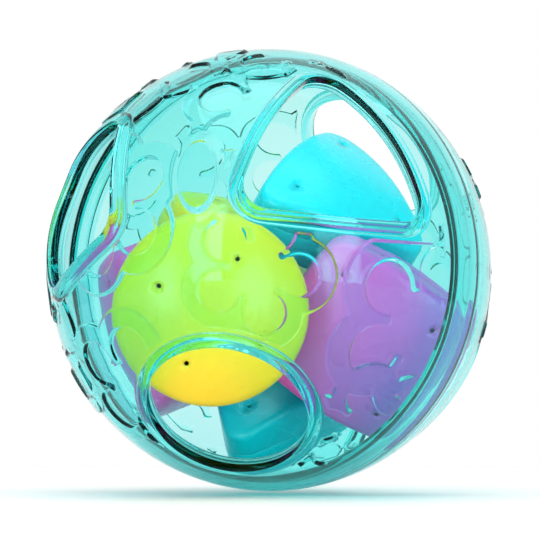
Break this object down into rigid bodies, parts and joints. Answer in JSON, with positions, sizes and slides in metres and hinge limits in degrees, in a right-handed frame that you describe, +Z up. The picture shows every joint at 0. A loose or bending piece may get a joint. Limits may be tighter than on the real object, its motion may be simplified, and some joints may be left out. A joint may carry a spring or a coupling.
{
  "type": "clear shape puzzle ball",
  "caption": "See-through hollow plastic ball with round, triangular and square windows and loose coloured shape blocks that tumble inside.",
  "frame": {"origin": "centre of the ball", "axes": "+Z up, the front half faces -Y, the seam between the halves lies in the XZ plane"},
  "size_m": [0.15, 0.15, 0.15],
  "materials": {
    "clear_aqua_plastic": "clear tinted moulded plastic, high gloss, raised ribbons",
    "yellow_plastic": "opaque moulded plastic, satin gloss",
    "blue_plastic": "opaque moulded plastic, satin gloss",
    "pink_plastic": "opaque moulded plastic, satin gloss"
  },
  "bodies": {
    "ball": {"front_shell": "clear_aqua_plastic", "rear_shell": "clear_aqua_plastic"},
    "yellow_disc_front": {"yellow_disc_front_base": "yellow_plastic", "yellow_disc_front_lid": "yellow_plastic"},
    "yellow_disc_rear": {"yellow_disc_rear_base": "yellow_plastic", "yellow_disc_rear_lid": "yellow_plastic"},
    "blue_triangle_upper": {"blue_triangle_upper_base": "blue_plastic", "blue_triangle_upper_lid": "blue_plastic"},
    "blue_triangle_lower": {"blue_triangle_lower_base": "blue_plastic", "blue_triangle_lower_lid": "blue_plastic"},
    "pink_square_right": {"pink_square_right_base": "pink_plastic", "pink_square_right_lid": "pink_plastic"},
    "pink_square_left": {"pink_square_left_base": "pink_plastic", "pink_square_left_lid": "pink_plastic"}
  },
  "joints": [
    {"name": "yellow_front_roll", "type": "slide", "parent": "ball", "child": "yellow_disc_front", "axis": [0.8521, -0.1504, 0.5013], "range_m": [0, 0.024]},
    {"name": "yellow_rear_spin", "type": "hinge", "parent": "ball", "child": "yellow_disc_rear", "pos_m": [-0.0245, 0.0255, 0.007], "axis": [-0.5988, -0.0663, -0.7981], "continuous": true},
    {"name": "blue_upper_turn", "type": "hinge", "parent": "ball", "child": "blue_triangle_upper", "pos_m": [0.0145, 0.02, 0.022], "axis": [0.6306, -0.3955, 0.6677], "range_deg": [-10, 4]},
    {"name": "blue_lower_turn", "type": "hinge", "parent": "ball", "child": "blue_triangle_lower", "pos_m": [-0.0095, 0.0305, -0.041], "axis": [0.1569, -0.6561, 0.7382], "range_deg": [0, 14]},
    {"name": "pink_right_shift", "type": "slide", "parent": "ball", "child": "pink_square_right", "axis": [-0.7589, -0.3795, 0.5292], "range_m": [0, 0.002]},
    {"name": "pink_left_shift", "type": "slide", "parent": "ball", "child": "pink_square_left", "axis": [0.16, -0.8198, 0.5499], "range_m": [0, 0.0025]}
  ]
}
